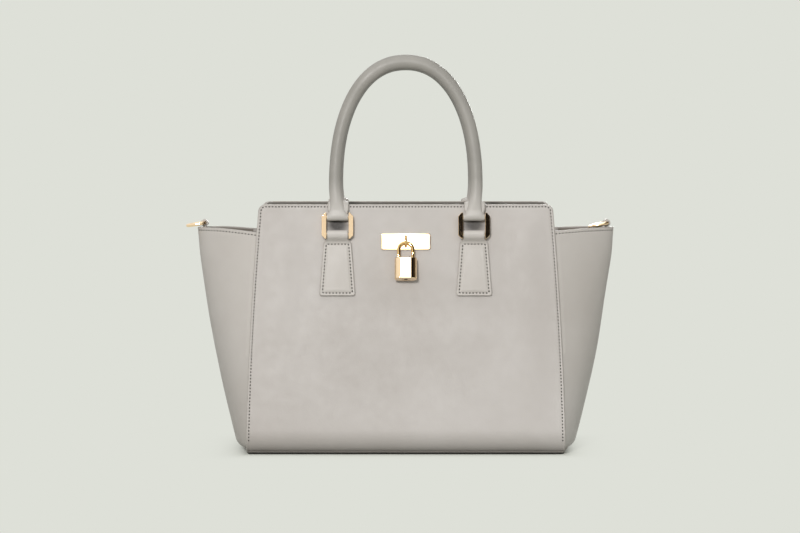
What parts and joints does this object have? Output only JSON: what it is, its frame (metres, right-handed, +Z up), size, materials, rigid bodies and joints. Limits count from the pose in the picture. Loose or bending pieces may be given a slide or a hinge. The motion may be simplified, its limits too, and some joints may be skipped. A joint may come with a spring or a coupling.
{
  "type": "tote bag",
  "caption": "Winged leather tote bag with stiff front and back panels, gusset wings, rolled handles on metal rings, side D-rings and a small hanging padlock.",
  "frame": {"origin": "on the floor, at the centre of the base's underside", "axes": "+X to the right as seen from the front, along the bag's width; +Y from the front panel to the back; +Z up"},
  "size_m": [0.4143, 0.1496, 0.3794],
  "materials": {
    "grey_leather": "smooth light grey calf leather with a soft sheen",
    "lining_cloth": "closely woven lining",
    "fibre_board": "bonded leather board, hidden in the walls and base",
    "pale_gold": "polished pale gold plating",
    "dull_steel": "plain steel, hidden behind the leather"
  },
  "bodies": {
    "bag": {"front_panel": "grey_leather", "front_stiffener": "fibre_board", "front_facing": "grey_leather", "front_lining": "lining_cloth", "front_left_tab": "grey_leather", "front_right_tab": "grey_leather", "front_magnetic_snap": "pale_gold", "back_panel": "grey_leather", "back_stiffener": "fibre_board", "back_facing": "grey_leather", "back_lining": "lining_cloth", "back_left_tab": "grey_leather", "back_right_tab": "grey_leather", "back_magnetic_snap": "pale_gold", "left_wing": "grey_leather", "left_wing_lining": "lining_cloth", "left_d_ring_tab": "grey_leather", "right_wing": "grey_leather", "right_wing_lining": "lining_cloth", "right_d_ring_tab": "grey_leather", "base_leather": "grey_leather", "base_board": "fibre_board", "base_lining": "lining_cloth", "lock_plate": "pale_gold", "lock_backing_plate": "dull_steel", "lock_staple": "pale_gold"},
    "front_rings": {"front_left_ring": "pale_gold", "front_right_ring": "pale_gold"},
    "front_handle": {"front_handle": "grey_leather"},
    "back_rings": {"back_left_ring": "pale_gold", "back_right_ring": "pale_gold"},
    "back_handle": {"back_handle": "grey_leather"},
    "padlock_shackle": {"padlock_shackle": "pale_gold"},
    "padlock_body": {"padlock_body": "pale_gold"},
    "padlock_key_plug": {"padlock_key_plug": "pale_gold"},
    "left_d_ring": {"left_d_ring": "pale_gold"},
    "right_d_ring": {"right_d_ring": "pale_gold"}
  },
  "joints": [
    {"name": "front_ring_swing", "type": "hinge", "parent": "bag", "child": "front_rings", "pos_m": [0, -0.05123, 0.20847], "axis": [1, 0, 0], "range_deg": [0, 75]},
    {"name": "front_handle_swing", "type": "hinge", "parent": "front_rings", "child": "front_handle", "pos_m": [0, -0.04876, 0.22458], "axis": [1, 0, 0], "range_deg": [-5, 100]},
    {"name": "back_ring_swing", "type": "hinge", "parent": "bag", "child": "back_rings", "pos_m": [0, 0.05123, 0.20847], "axis": [-1, 0, 0], "range_deg": [0, 75]},
    {"name": "back_handle_swing", "type": "hinge", "parent": "back_rings", "child": "back_handle", "pos_m": [0, 0.04876, 0.22458], "axis": [-1, 0, 0], "range_deg": [-5, 100]},
    {"name": "padlock_swing", "type": "hinge", "parent": "bag", "child": "padlock_shackle", "pos_m": [0, -0.05142, 0.20025], "axis": [-1, 0, 0], "range_deg": [0, 150]},
    {"name": "padlock_release", "type": "slide", "parent": "padlock_shackle", "child": "padlock_body", "axis": [0, -0.3041, -0.9526], "range_m": [0, 0.006]},
    {"name": "key_turn", "type": "hinge", "parent": "padlock_body", "child": "padlock_key_plug", "pos_m": [0, -0.06237, 0.16596], "axis": [0, 0.3041, 0.9526], "range_deg": [0, 90]},
    {"name": "left_d_ring_swing", "type": "hinge", "parent": "bag", "child": "left_d_ring", "pos_m": [-0.19461, 0, 0.2174], "axis": [0, 1, 0], "range_deg": [-11, 209]},
    {"name": "right_d_ring_swing", "type": "hinge", "parent": "bag", "child": "right_d_ring", "pos_m": [0.19461, 0, 0.2174], "axis": [0, 1, 0], "range_deg": [-5, 215]}
  ]
}
